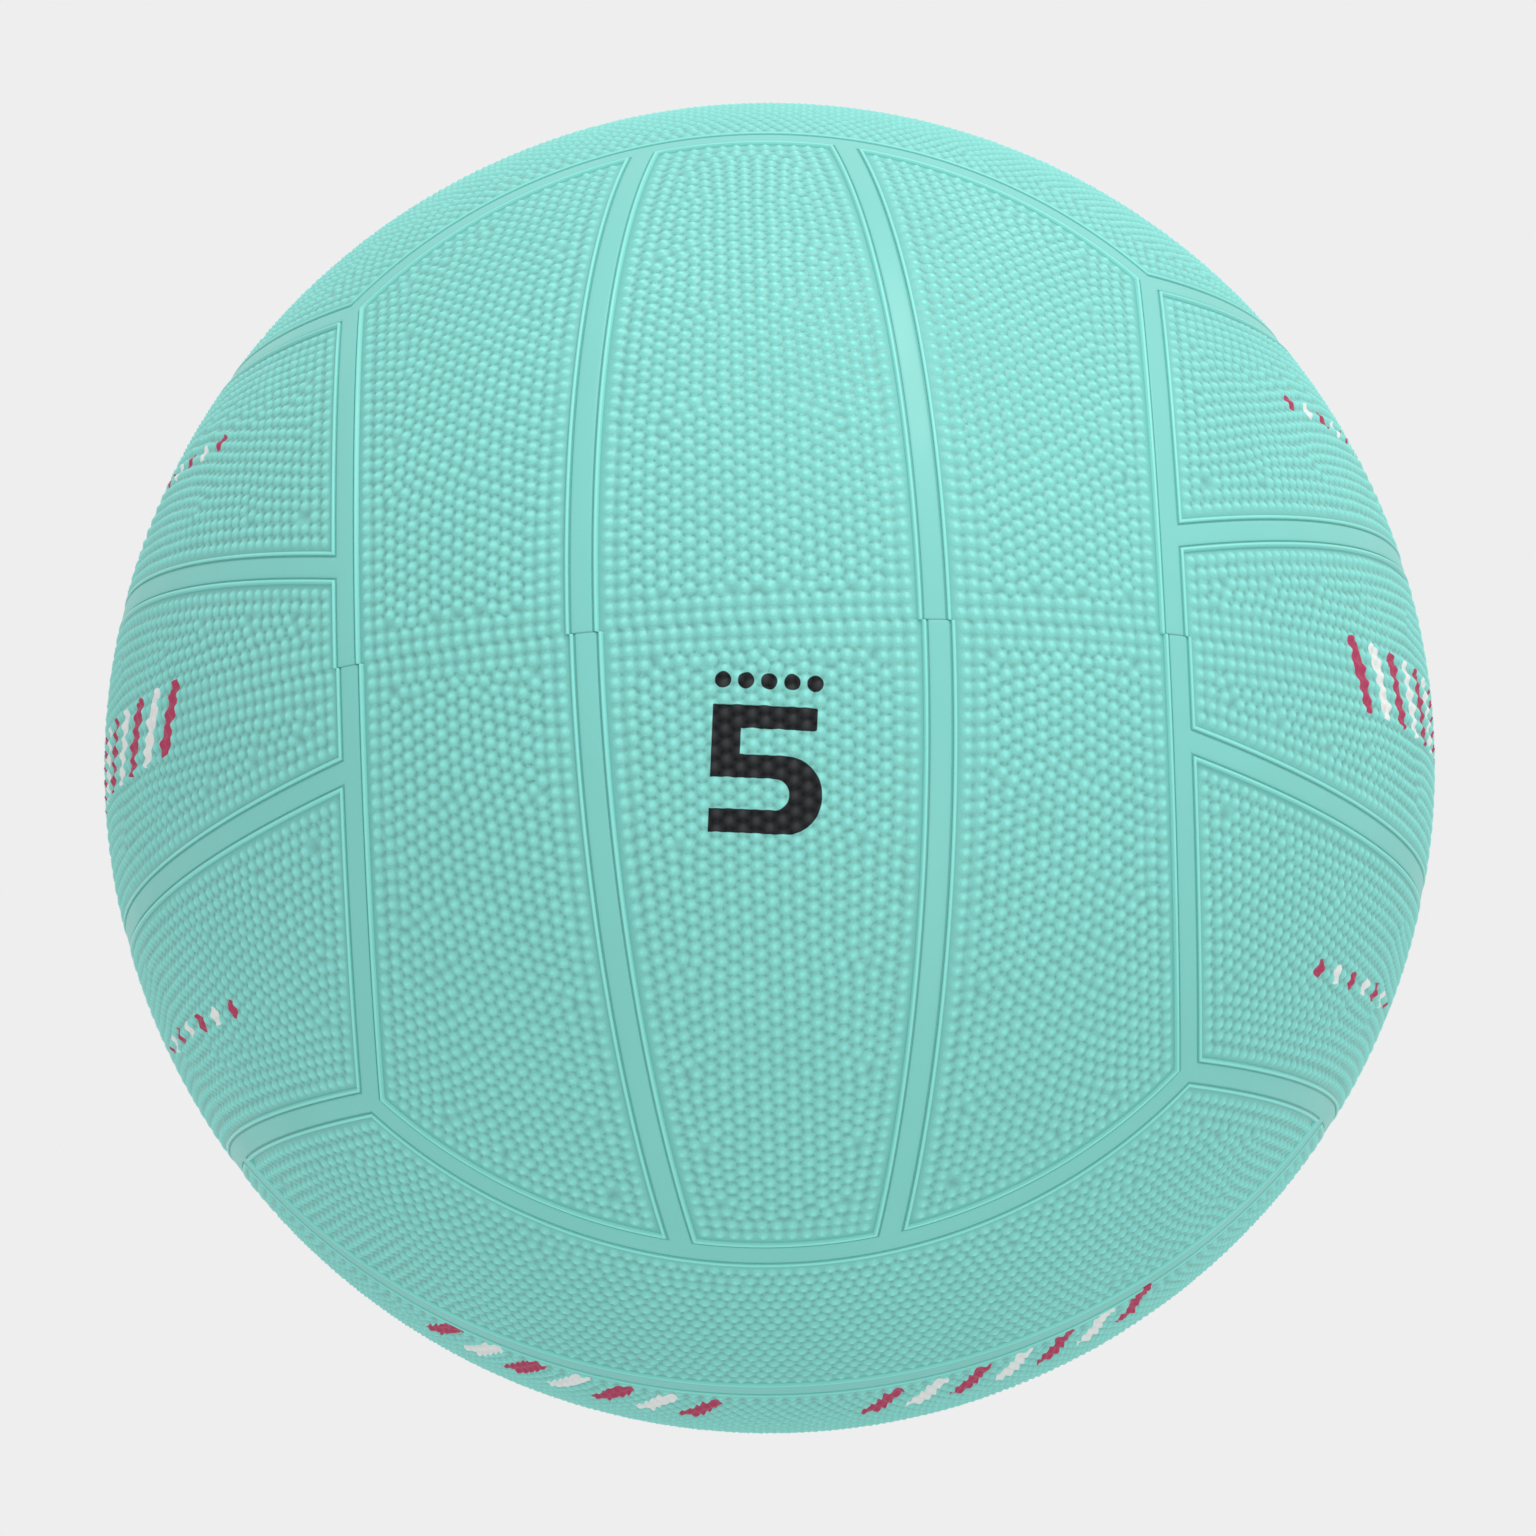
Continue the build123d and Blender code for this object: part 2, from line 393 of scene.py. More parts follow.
def row_points(sides, axes, pitch, rows):
    """Closed rows of pebbles inside four sides that pass through the first row. Each row
    lies a pitch inside the one before, and its pebbles stand evenly from corner to corner,
    so that the rows stand in line at a square corner."""
    found = []
    for row in range(rows):
        moved = sides_set_back(sides, row * pitch)
        fine = arcs_round(moved, axes, [np.linspace(0, 1, ROW_MEASURING_POINTS)] * 4)
        lengths = [BALL_RADIUS * np.linalg.norm(np.diff(curve, axis=0), axis=1).sum() for curve in fine]
        counts = [max(round(length / pitch), 1) for length in lengths]
        found += arcs_round(moved, axes, [np.arange(count) / count for count in counts])
    return np.concatenate(found)


def apart(points, others, distance):
    """Whether each point is at least this far from all the others."""
    nearest = (points @ others.T).max(axis=1)
    return nearest < math.cos(distance / BALL_RADIUS)


def thinned(points, distance):
    """Points in order, without any that stand closer than this to an earlier one."""
    close = points @ points.T > math.cos(distance / BALL_RADIUS)
    return points[~np.tril(close, -1).any(axis=1)]


def nearest_gap(points):
    """Each point's distance from its nearest neighbour."""
    likeness = points @ points.T
    np.fill_diagonal(likeness, -1)
    return BALL_RADIUS * np.arccos(likeness.max(axis=1))


def lattice(axes, pitch):
    """A hexagonal lattice of points over the strip's chart, in columns along the strip. A column
    slides along by the square of its number, so that the rows across the columns curve."""
    column, place = np.meshgrid(both_ways(LATTICE_COLUMNS), both_ways(LATTICE_PLACES))
    across = column * pitch * math.sqrt(3) / 2
    along = (place + 0.5 * (column % 2) + ROW_CURVE * column**2) * pitch
    return from_chart(np.column_stack([across.ravel(), along.ravel()]), axes)


def relaxed(free, held, sides, pitch):
    """Free points after many small steps. In each step a point is pushed from every
    neighbour by how far the gap falls short of the wished one, and stays inside the sides."""
    reach = RELAXING_REACH * pitch / BALL_RADIUS
    for step in range(RELAXING_STEPS):
        everyone = np.concatenate([free, held])
        if step % FINDING_EVERY == 0:
            likeness = free @ everyone.T
            np.fill_diagonal(likeness, -1)
            near = np.argpartition(-likeness, NEIGHBOURS, axis=1)[:, :NEIGHBOURS]
        gap = free[:, None] - everyone[near]
        distance = np.linalg.norm(gap, axis=2, keepdims=True)
        push = (gap / distance * np.clip(reach - distance, 0, None)).sum(axis=1)
        free = unit(free + RELAXING_PUSH * push)
        for side in sides:
            short = np.clip(-setback_of(free, side), 0, None) / BALL_RADIUS
            free = unit(free + short[:, None] * side.normal)
    return free


def pebbled_region(sides, axes, pebbles, hole):
    """Pebble places inside sides that pass through the outermost pebbles: square rows along
    the sides, a round row about a hole at the middle, and a relaxed lattice elsewhere,
    which is relaxed again without its crowded points."""
    pitch = pebbles.pitch
    held = thinned(row_points(sides, axes, pitch, pebbles.square_rows), ROW_GAP * pitch)
    if hole:
        round_row = circle(hole, round(2 * math.pi * hole / pitch), axes)
        held = np.concatenate([held, round_row])
    free = lattice(axes, pitch)
    free = free[(depth_inside(free, sides) > 0) & apart(free, held, FREE_GAP * pitch)]
    if hole:
        free = free[apart(free, axes[1:2], hole)]
    free = relaxed(free, held, sides, pitch)
    free = thinned(free[apart(free, held, CROWDED_GAP * pitch)], CROWDED_GAP * pitch)
    return np.concatenate([held, relaxed(free, held, sides, pitch)])


def pebble_places(strip, parted, hole, pebbles):
    """Pebble places on a front strip. The mould's parting plane, if it crosses the strip,
    divides it in two regions whose first rows stand half a pitch from the line."""
    axes = strip_axes(strip)
    sides = sides_set_back(strip_sides(strip), pebbles.edge_row)
    regions = [sides]
    if parted:
        normal, before, after = PARTINGS[parted]
        half_pitch = pebbles.pitch / 2 / BALL_RADIUS
        regions = [list(sides), list(sides)]
        regions[0][before] = Side(-np.array(normal), half_pitch)
        regions[1][after] = Side(np.array(normal), half_pitch)
    return np.concatenate([pebbled_region(region, axes, pebbles, hole) for region in regions])


# Surfaces in the making. A chart of about the strip size is laid on the baking map.
STRIP_SIZE = np.array([62, 216]) * MM
PLAIN_GRID = 8 * MM
PLAIN_COLUMNS = 6
PLAIN_PLACES = 20
DELAUNAY_TOLERANCE = 1e-9
ALL_TRIANGLES = 0
TRIANGLES_INSIDE = 1


def map_place(flat, middle, size):
    """Places on the baking map: the strip's chart brought to this size about this middle."""
    return np.array(middle) + np.array(size) * flat / STRIP_SIZE


def band_triangles(rings, count):
    """Triangles between closed rings of count points that follow each other inwards."""
    ring, place = np.meshgrid(np.arange(rings - 1), np.arange(count), indexing="ij")
    ring, place = ring.ravel() * count, place.ravel()
    following = (place + 1) % count
    outer, outer_next = ring + place, ring + following
    inner, inner_next = outer + count, outer_next + count
    return np.concatenate(
        [np.column_stack([outer, outer_next, inner_next]), np.column_stack([outer, inner_next, inner])]
    )


def filled(flat, loops):
    """Delaunay triangles over flat points, within the first loop and outside the others. The
    loops' points come first, in order."""
    ends = np.cumsum([len(loop.numbers) for loop in loops])
    rows = np.split(np.arange(ends[-1]), ends[:-1])
    edges = np.concatenate([np.column_stack([row, np.roll(row, -1)]) for row in rows])
    scale = 1 / BALL_RADIUS
    made = delaunay_2d_cdt(
        (flat * scale).tolist(), edges.tolist(), [], TRIANGLES_INSIDE, DELAUNAY_TOLERANCE
    )
    if len(made[0]) != len(flat):
        raise RuntimeError("The outline crosses itself or a pebble lies on it")
    triangles = np.array(made[2])
    for row in rows[1:]:
        triangles = triangles[~np.isin(triangles, row).all(axis=1)]
    return triangles


def grid_inside(strip, setback, hole):
    """A coarse square grid of flat places inside a strip, clear of its outline and of a hole
    at its middle."""
    across, along = np.meshgrid(both_ways(PLAIN_COLUMNS) * PLAIN_GRID, both_ways(PLAIN_PLACES) * PLAIN_GRID)
    flat = np.column_stack([across.ravel(), along.ravel()])
    depth = depth_inside(from_chart(flat, strip_axes(strip)), strip_sides(strip))
    clear_of_hole = np.hypot(*flat.T) > (hole and hole + PLAIN_GRID / 2)
    return flat[(depth > setback + PLAIN_GRID / 2) & clear_of_hole]


def gathered(spots):
    """Several lots of spots as one."""
    return Spots(*(np.concatenate(part) for part in zip(*spots)))


class Surface:
    """A mesh in the making: its points, the triangles between their numbers, and the flat
    place of every corner of every triangle."""

    def __init__(self):
        self.points = []
        self.triangles = []
        self.corners = []
        self.count = 0

    def add(self, points):
        """Add points, and give back their numbers."""
        self.points.append(points)
        self.count += len(points)
        return np.arange(self.count - len(points), self.count)

    def join(self, spots, triangles):
        """Add triangles, each of which names three of the spots."""
        self.triangles.append(spots.numbers[triangles])
        self.corners.append(spots.flat[triangles])

    def carry(self, rings, levels, flats):
        """Add closed rings of the unit ball's points, each carried out to its level and joined
        to the next, and give back the first ring and the last one."""
        count = len(rings[0])
        numbers = self.add(np.concatenate([ring * level for ring, level in zip(rings, levels)]))
        flat = np.concatenate(flats)
        self.join(Spots(numbers, flat), band_triangles(len(rings), count))
        return Spots(numbers[:count], flat[:count]), Spots(numbers[-count:], flat[-count:])

    def close(self, loops, strip, setback, hole, level, facing):
        """Add a plain face at a level within loops, on a coarse grid. It faces out if facing is
        1, and in if it is -1."""
        inner = grid_inside(strip, setback, hole)
        numbers = self.add(from_chart(inner, strip_axes(strip)) * level)
        spots = gathered(loops + [Spots(numbers, inner)])
        self.join(spots, filled(spots.flat, loops)[:, ::facing])

    def skin(self, foot, height, front_on_map, back_on_map):
        """The finished skin. Its relief goes from 0 at the foot's level to 1 at a height above
        it. What was added last is its back, which has a place of its own on the map."""
        points = np.concatenate(self.points)
        relief = (np.linalg.norm(points, axis=1) - foot) / height
        *front, back = self.corners
        corner_map = [map_place(np.concatenate(front), *front_on_map), map_place(back, *back_on_map)]
        return Skin(
            points, np.concatenate(self.triangles), relief.clip(0, 1), np.concatenate(corner_map)
        )


# A panel's edge. The gutter at the rim's foot rises by a share of a pebble's height, and the
# round row about the valve's collar stands so many pebble radii from it.
RIM_MARGIN = 0.04 * MM
RIM_BEND = math.radians(144)
RIM_POINTS = 7
GUTTER_RISE = 0.15
HOLE_POINTS = 48
COLLAR_RELIEF = 0.7
COLLAR_ROW = 1.3

# A pebble's shoulder and foot, as shares of its radius and height, and the little differences
# between pebbles. Spread and gap are shares of the pitch, and a foot's radius is at most
# a share of the gap to the nearest pebble.
PEBBLE_SECTORS = 8
SHOULDER_SHARE = 0.52
SHOULDER_RISE = 0.7
FOOT_RISE = 0.28
FOOT_GAP_SHARE = 0.49
PLACE_SPREAD = 0.02
PLACE_LIMIT = 0.05 * MM
WIDTH_RANGE = (0.95, 1.02)
TIP_RANGE = (0.9, 1.0)
HOLLOW_MARGIN = 0.1 * MM
HOLLOW_GAP = 0.3

# Middle and size of a panel's two sides on its baking map
PANEL_FRONT_ON_MAP = ((0.44, 0.5), (0.80, 0.98))
PANEL_BACK_ON_MAP = ((0.93, 0.5), (0.1, 0.98))


def rim_profile(sizes, pebbles):
    """The cross section of a panel's edge: how far in its points stand and their levels. It
    goes up the wall, over the rim on a part of an ellipse and down to the rim's foot."""
    rim = BALL_RADIUS - sizes.rim_drop
    back = BALL_RADIUS - sizes.panel_thickness
    foot = BALL_RADIUS - pebbles.height + GUTTER_RISE * pebbles.height
    bend = np.linspace(0, RIM_BEND, RIM_POINTS)
    inset = np.concatenate([[0], sizes.rim_reach * (1 - np.cos(bend)), [sizes.rim_width]])
    level = np.concatenate([[back], rim - sizes.rim_rise * (1 - np.sin(bend)), [foot]])
    return inset, level


def pebble_widths(centres, room, pebbles, random):
    """Each pebble's radius at its foot, which leaves a gap to the nearest pebble and stays
    within the room that it has."""
    width = pebbles.radius * random.uniform(*WIDTH_RANGE, (len(centres), 1))
    width = np.minimum(width, FOOT_GAP_SHARE * nearest_gap(centres)[:, None])
    return np.minimum(width, room[:, None] - RIM_MARGIN)


def pebble_points(places, width, pebbles, random):
    """Flat places and heights of every pebble's points: a ring at its foot, a ring at its
    shoulder, and its tip. A step along the strip is shorter on the ball than on the chart,
    by the cosine of the angle to the right, so the rings are stretched by as much."""
    tip = pebbles.height * random.uniform(*TIP_RANGE, (len(places), 1))
    turn = random.uniform(0, 2 * math.pi, (len(places), 1))
    turn = turn + np.arange(PEBBLE_SECTORS) * 2 * math.pi / PEBBLE_SECTORS
    spread = np.stack([np.cos(turn), np.sin(turn) / np.cos(places[:, :1] / BALL_RADIUS)], axis=2)
    centre = places[:, None]
    foot = centre + width[:, :, None] * spread
    shoulder = centre + SHOULDER_SHARE * width[:, :, None] * spread
    rises = np.repeat([FOOT_RISE, SHOULDER_RISE, 1.0], [PEBBLE_SECTORS, PEBBLE_SECTORS, 1])
    return np.concatenate([foot, shoulder, centre], axis=1), rises * tip


def dome_triangles():
    """One pebble's triangles, from its foot to its shoulder and from there to its tip."""
    sector = np.arange(PEBBLE_SECTORS)
    tip = np.full(PEBBLE_SECTORS, PEBBLE_SECTORS)
    cap = np.column_stack([sector, (sector + 1) % PEBBLE_SECTORS, tip]) + PEBBLE_SECTORS
    return np.concatenate([band_triangles(2, PEBBLE_SECTORS), cap])


def hollows_between(flat, centres, width, pitch):
    """The low places between pebbles. In a Delaunay triangle of three pebbles it is the unit
    ball's point at equal distances from all three, along the normal of their plane. Those
    that a pebble covers, those in a wide gap and second ones of a pair are left out."""
    made = delaunay_2d_cdt((flat / BALL_RADIUS).tolist(), [], [], ALL_TRIANGLES, DELAUNAY_TOLERANCE)
    first, second, third = centres[np.array(made[2])].transpose(1, 0, 2)
    found = unit(np.cross(second - first, third - first))
    reach = BALL_RADIUS * np.arccos(np.clip(found @ centres.T, -1, 1))
    clear = ((reach - width.T).min(axis=1) > HOLLOW_MARGIN) & (reach.min(axis=1) < pitch)
    return thinned(found[clear], HOLLOW_GAP * pitch)


def panel_skin(strip, parted, hole, sizes, pebbles, seed):
    """A closed panel, as a front strip. The edge's cross section is carried round the outline,
    and round the valve's hole with a flat collar, if there is one. Pebbles stand within,
    with hollows between them, and Delaunay triangles join the pebbles' feet, the hollows
    and the rim's foot. A plain face closes the back."""
    random = np.random.default_rng(seed)
    axes, sides, fractions = strip_axes(strip), strip_sides(strip), outline_fractions(strip)
    wall = sizes.rib_width / 2 + sizes.groove_width
    rim = BALL_RADIUS - sizes.rim_drop
    valley = BALL_RADIUS - pebbles.height
    collar = sizes.valve_collar_radius

    # The edge. On the map its outer side is unrolled outwards.
    surface = Surface()
    inset, level = rim_profile(sizes, pebbles)
    outside = inset < sizes.rim_reach
    unrolled = np.where(outside, inset + level - rim, inset)
    rings = [outline(strip, wall + inward, fractions) for inward in inset]
    flats = [chart(outline(strip, wall + inward, fractions), axes) for inward in unrolled]
    back_edge, rim_foot = surface.carry(rings, level, flats)
    front_loops = [rim_foot]
    back_loops = [back_edge._replace(flat=chart(rings[0], axes))]
    if hole:
        reach = np.append(hole + inset[:-1], [collar - sizes.rim_reach, collar])
        rise = np.append(np.where(outside, level, rim)[:-1], [rim, level[-1]])
        rings = [circle(radius, HOLE_POINTS, axes, way=-1) for radius in reach]
        hole_edge, collar_edge = surface.carry(rings, rise, [chart(ring, axes) for ring in rings])
        front_loops.append(collar_edge)
        back_loops.append(hole_edge)

    # The pebbles
    round_row = hole and collar + COLLAR_ROW * pebbles.radius
    places = chart(pebble_places(strip, parted, round_row, pebbles), axes)
    places += random.normal(0, PLACE_SPREAD * pebbles.pitch, places.shape).clip(-PLACE_LIMIT, PLACE_LIMIT)
    centres = from_chart(places, axes)
    room = depth_inside(centres, sides) - wall - sizes.rim_width
    width = pebble_widths(centres, room, pebbles, random)
    flat, heights = pebble_points(places, width, pebbles, random)
    total, per_pebble = heights.shape
    points = from_chart(flat.reshape(-1, 2), axes) * (valley + heights.reshape(-1, 1))
    domes = Spots(surface.add(points), flat.reshape(-1, 2))
    starts = per_pebble * np.arange(total)
    surface.join(domes, (starts[:, None, None] + dome_triangles()).reshape(-1, 3))

    # The hollows, and what lies between the feet
    low = hollows_between(places, centres, width, pebbles.pitch)
    low = low[depth_inside(low, sides) > wall + sizes.rim_width + RIM_MARGIN]
    if hole:
        low = low[apart(low, axes[1:2], collar + RIM_MARGIN)]
    hollows = Spots(surface.add(low * valley), chart(low, axes))
    chosen = (starts[:, None] + np.arange(PEBBLE_SECTORS)).ravel()
    feet = Spots(domes.numbers[chosen], domes.flat[chosen])
    spots = gathered(front_loops + [hollows, feet])
    between = filled(spots.flat, front_loops)
    pebble = (between - (len(spots.numbers) - len(chosen))) // PEBBLE_SECTORS
    under_pebble = (pebble >= 0).all(axis=1) & (np.ptp(pebble, axis=1) == 0)
    surface.join(spots, between[~under_pebble])

    surface.close(back_loops, strip, wall, hole, BALL_RADIUS - sizes.panel_thickness, facing=-1)
    skin = surface.skin(valley, pebbles.height, PANEL_FRONT_ON_MAP, PANEL_BACK_ON_MAP)
    if hole:
        skin.relief[hole_edge.numbers[0]:collar_edge.numbers[-1] + 1] = COLLAR_RELIEF
    return skin


# The carcass. Its ledge takes up a share of the groove's width.
RIB_ROUNDNESS = 4
RIB_POINTS = 8
LEDGE_SHARE = 0.98

# Each cell has a column of the carcass's baking map, with its two sides one above the other
CELL_TILE = 1 / (len(FACES) * len(STRIPS))
CELL_ON_MAP = (0.96 * CELL_TILE, 0.48)
OUTER_ROW_ON_MAP = 0.75
INNER_ROW_ON_MAP = 0.25

# The line that the mould leaves along its parting plane
PARTING_GROOVE_DEPTH = 0.1 * MM
PARTING_GROOVE_WIDTH = 0.12 * MM
PARTING_STEP = 0.03 * MM


def carcass_cell(strip, hole, sizes, column):
    """The carcass around and under one strip. Half of each rib is a superellipse, whose
    width is a power of the sine and its height the same power of the cosine. Then come
    the groove, the pocket's floor and the inner face."""
    axes = strip_axes(strip)
    fractions = outline_fractions(strip)
    half = sizes.rib_width / 2
    groove = BALL_RADIUS - sizes.rib_drop - sizes.groove_depth
    pocket = BALL_RADIUS - sizes.panel_thickness - sizes.cement_film
    inside = pocket - sizes.carcass_floor
    power = 2 / RIB_ROUNDNESS
    swing = np.linspace(0, math.pi / 2, RIB_POINTS)
    ledge = half + LEDGE_SHARE * sizes.groove_width
    setbacks = np.concatenate([half * np.sin(swing) ** power, [ledge, ledge]])
    rib = groove + sizes.groove_depth * np.cos(swing).clip(0) ** power
    levels = np.concatenate([rib, [groove, pocket]])
    rings = [outline(strip, setback, fractions) for setback in setbacks]
    surface = Surface()
    rib_top, pocket_edge = surface.carry(rings, levels, [chart(ring, axes) for ring in rings])
    pocket_loops = [pocket_edge]
    inside_loops = [Spots(surface.add(rings[0] * inside), rib_top.flat)]
    if hole:
        ring = circle(hole, HOLE_POINTS, axes, way=-1)
        lower, upper = surface.carry([ring, ring], [inside, pocket], [chart(ring, axes)] * 2)
        pocket_loops.append(upper)
        inside_loops.append(lower)
    surface.close(pocket_loops, strip, ledge, hole, pocket, facing=1)
    surface.close(inside_loops, strip, 0.0, hole, inside, facing=-1)
    across = (column + 0.5) * CELL_TILE
    outer_on_map = ((across, OUTER_ROW_ON_MAP), CELL_ON_MAP)
    inner_on_map = ((across, INNER_ROW_ON_MAP), CELL_ON_MAP)
    return surface.skin(groove, sizes.groove_depth, outer_on_map, inner_on_map)


def mould_set(skin, turn, sizes):
    """A skin turned to its face, and then about Z by half the mould offset, one way above the
    parting plane and the other way below it, with a fine groove along the plane."""
    points = (skin.points @ turn.T).T
    x, y, height = points
    angle = -sizes.mould_offset / 2 / BALL_RADIUS * np.tanh(height / PARTING_STEP)
    cosine, sine = np.cos(angle), np.sin(angle)
    turned = np.column_stack([cosine * x - sine * y, sine * x + cosine * y, height])
    dent = PARTING_GROOVE_DEPTH * np.exp(-((height / PARTING_GROOVE_WIDTH) ** 2))
    return skin._replace(points=turned * (1 - dent / np.linalg.norm(points, axis=0))[:, None])


# Objects
SHARP_ANGLE = math.radians(60)
WELD = 0.002 * MM


def mesh_object(name, skin):
    """An object at the origin from a skin, smooth but for sharp edges, with the relief as a
    point attribute and the baking map as its UV map."""
    mesh = bpy.data.meshes.new(name)
    triangles = np.ascontiguousarray(skin.triangles, dtype=np.int32)
    mesh.vertices.add(len(skin.points))
    mesh.loops.add(triangles.size)
    mesh.polygons.add(len(triangles))
    mesh.vertices.foreach_set("co", np.ascontiguousarray(skin.points, dtype=np.float32).ravel())
    mesh.loops.foreach_set("vertex_index", triangles.ravel())
    mesh.polygons.foreach_set("loop_start", np.arange(0, triangles.size, 3, dtype=np.int32))
    relief = mesh.attributes.new("relief", "FLOAT", "POINT")
    relief.data.foreach_set("value", skin.relief.astype(np.float32))
    layer = mesh.uv_layers.new(name="OFBake", do_init=False)
    layer.uv.foreach_set("vector", skin.corner_map.astype(np.float32).ravel())
    mesh.update(calc_edges=True)
    if mesh.validate():
        raise RuntimeError(f"The mesh of {name} has bad faces")
    mesh.shade_smooth()
    mesh.set_sharp_from_angle(angle=SHARP_ANGLE)
    made = bpy.data.objects.new(name, mesh)
    bpy.context.scene.collection.objects.link(made)
    return made


def merge_doubles(made, distance):
    """Points of the object's mesh that lie on each other become one."""
    shape = bmesh.new()
    shape.from_mesh(made.data)
    bmesh.ops.remove_doubles(shape, verts=shape.verts, dist=distance)
    shape.to_mesh(made.data)
    shape.free()


# Nodes

def set_sockets(tree, node, sockets):
    """Sets a node's sockets to numbers, or links them to outputs."""
    for socket, value in sockets.items():
        if isinstance(value, bpy.types.NodeSocket):
            tree.links.new(value, node.inputs[socket])
        else:
            node.inputs[socket].default_value = value


def add_node(tree, kind, sockets=None, **settings):
    """A new node with these settings and sockets."""
    made = tree.nodes.new(kind)
    for setting, value in settings.items():
        setattr(made, setting, value)
    set_sockets(tree, made, sockets or {})
    return made


def calc(tree, operation, *values):
    """The output of a Math node on up to three numbers or outputs."""
    return add_node(tree, "ShaderNodeMath", dict(enumerate(values)), operation=operation).outputs[0]


def vector_calc(tree, operation, *values):
    """The output of a Vector Math node: a length for LENGTH, and a vector otherwise."""
    made = add_node(tree, "ShaderNodeVectorMath", dict(enumerate(values)), operation=operation)
    return made.outputs["Value" if operation == "LENGTH" else "Vector"]


def mixed_colour(tree, share, first, second):
    """The output of a colour Mix node, whose two colours are its sockets 6 and 7."""
    sockets = {"Factor": share, 6: first, 7: second}
    return add_node(tree, "ShaderNodeMix", sockets, data_type="RGBA").outputs[2]


def ranged(tree, value, low, high, to_low=0.0, to_high=1.0):
    """A value carried from one range to another and held within it."""
    sockets = {"Value": value, "From Min": low, "From Max": high, "To Min": to_low, "To Max": to_high}
    return add_node(tree, "ShaderNodeMapRange", sockets).outputs[0]


def noise(tree, place, scale, detail):
    """The output of a Noise texture, with so many cells to the metre."""
    sockets = {"Vector": place, "Scale": scale, "Detail": detail}
    return add_node(tree, "ShaderNodeTexNoise", sockets).outputs[0]


def bump(tree, height, strength, depth):
    """The normal from a Bump node."""
    sockets = {"Height": height, "Strength": strength, "Distance": depth}
    return add_node(tree, "ShaderNodeBump", sockets).outputs[0]


def parts_of(tree, vector):
    """A vector's parts along X, Y and Z."""
    return add_node(tree, "ShaderNodeSeparateXYZ", {"Vector": vector}).outputs


def relief_of(tree):
    """The relief of the surface, from 0 in the valleys to 1 on the highest tips."""
    return add_node(tree, "ShaderNodeAttribute", attribute_name="relief").outputs["Fac"]


def opaque(colour):
    """A colour with full alpha."""
    return (*colour, 1.0)


def shaded(colour, factor):
    """A colour made darker or lighter by a factor."""
    return opaque([min(part * factor, 1.0) for part in colour])


def new_material(name):
    """An empty node material, its tree and its Principled shader."""
    material = bpy.data.materials.new(name)
    material.use_nodes = True
    tree = material.node_tree
    return material, tree, tree.nodes["Principled BSDF"]


def object_place(tree):
    """The place on the object."""
    return add_node(tree, "ShaderNodeTexCoord").outputs["Object"]


# Print
PRINT_EDGE = 0.05 * MM


def box_distance(tree, place, centre, half, radius):
    """Distance outside a flat box with rounded corners, less than 0 inside: the length of the
    overshoot past its core, less the corner radius. Boxes lie in the XZ plane."""
    core = (half[0] - radius, 1.0, half[1] - radius)
    offset = vector_calc(tree, "SUBTRACT", place, (centre[0], 0.0, centre[1]))
    past = vector_calc(tree, "SUBTRACT", vector_calc(tree, "ABSOLUTE", offset), core)
    past = vector_calc(tree, "MAXIMUM", past, (0.0, 0.0, 0.0))
    return calc(tree, "SUBTRACT", vector_calc(tree, "LENGTH", past), radius)


def inked(tree, distance):
    """1 inside a shape and 0 outside it, with a soft edge."""
    return ranged(tree, distance, PRINT_EDGE, -PRINT_EDGE)


def row_of_boxes(tree, along, across, gap, half, slant=0.0):
    """Boxes with round ends at even gaps along a line: the distance from the nearest one, and
    its number from the middle of the row. A slant leans them by so much of their height."""
    leaning = calc(tree, "MULTIPLY_ADD", across, slant, along)
    number = calc(tree, "ROUND", calc(tree, "DIVIDE", leaning, gap))
    within = calc(tree, "MULTIPLY_ADD", number, -gap, leaning)
    place = add_node(tree, "ShaderNodeCombineXYZ", {"X": within, "Z": across}).outputs[0]
    return box_distance(tree, place, (0.0, 0.0), half, half[0]), number


NUMERAL_CENTRE = (0.2 * MM, -22.4 * MM)
NUMERAL_TURN = math.radians(-4.7)
NUMERAL_WIDTH = 17.1 * MM
NUMERAL_HEIGHT = 19.0 * MM
NUMERAL_STROKE = 3.5 * MM
STEM_WIDTH = 4.4 * MM
BAR_LENGTH = 15.9 * MM
BOWL_HEIGHT = 11.6 * MM
BOWL_RADIUS = 5.6 * MM
BOWL_HOLLOW_RADIUS = 2.2 * MM
BOWL_SIDE_WIDTH = 5.0 * MM
PRINT_CORNER = 0.3 * MM
PIP_HEIGHT = -9.2 * MM
PIP_RADIUS = 1.25 * MM
PIP_GAP = 3.5 * MM
PIPS_EACH_SIDE = 2
# Relief over which the dark ink turns to its painted highlight
INK_HIGHLIGHT_RELIEF = (0.0, 0.9)


